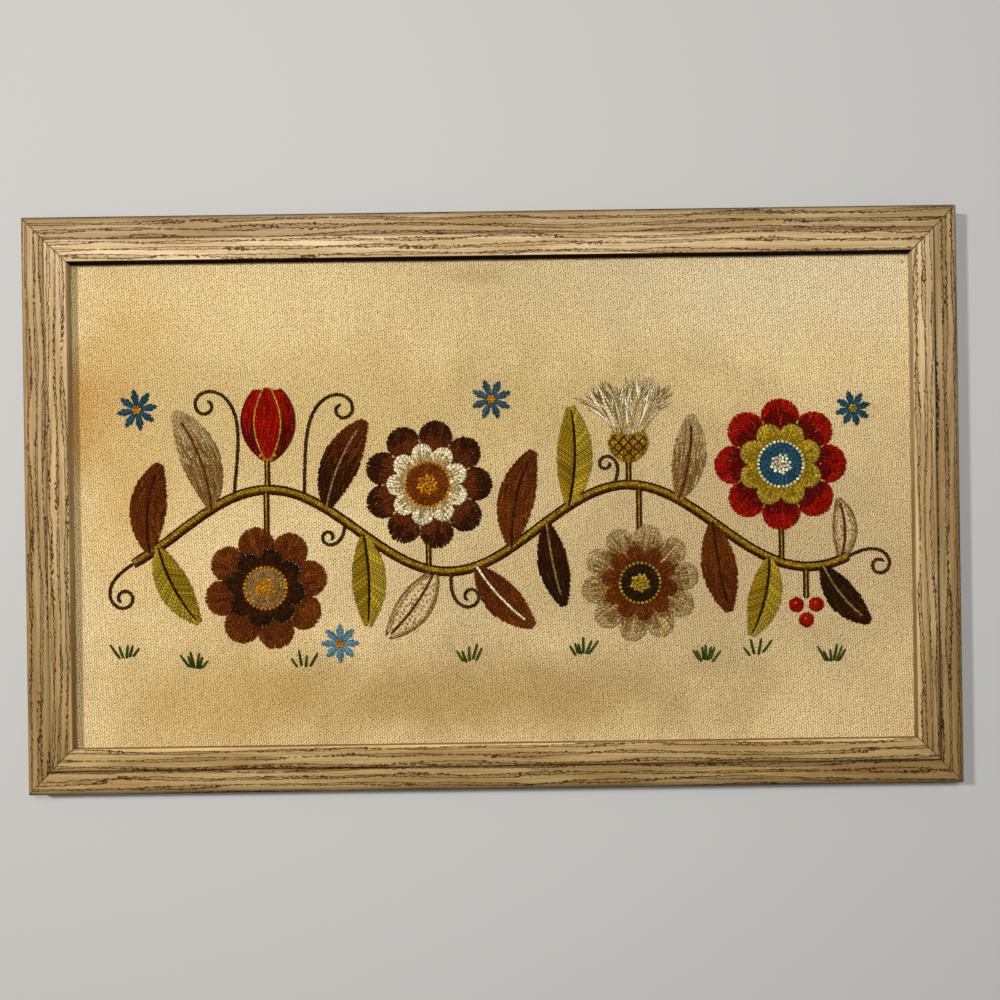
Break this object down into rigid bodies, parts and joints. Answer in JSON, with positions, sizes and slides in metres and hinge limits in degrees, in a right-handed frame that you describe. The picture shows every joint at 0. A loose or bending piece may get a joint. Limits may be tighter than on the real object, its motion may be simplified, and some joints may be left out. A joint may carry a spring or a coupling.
{
  "type": "framed embroidery picture",
  "caption": "Crewel embroidery of a flowering vine on cotton twill, stretched over a hardboard panel in a stepped oak-finish moulding frame, lying on its back.",
  "frame": {"origin": "middle of the frame's back, in the plane of the back faces of its rails", "axes": "+Z out of the picture's face, +Y to the picture's top, +X to its right"},
  "size_m": [0.66, 0.408, 0.0188],
  "materials": {
    "oak_moulding": "light oak grain, satin",
    "cotton_twill": "unbleached cotton twill, matt",
    "hardboard": "brown hardboard, matt",
    "crewel_wool": "two-ply crewel wool in browns, mustard, cream, red and blue, matt"
  },
  "bodies": {
    "root": {"rail_top": "oak_moulding", "rail_bottom": "oak_moulding", "rail_left": "oak_moulding", "rail_right": "oak_moulding", "embroidered_cloth": "cotton_twill", "backing_panel": "hardboard"}
  },
  "joints": []
}
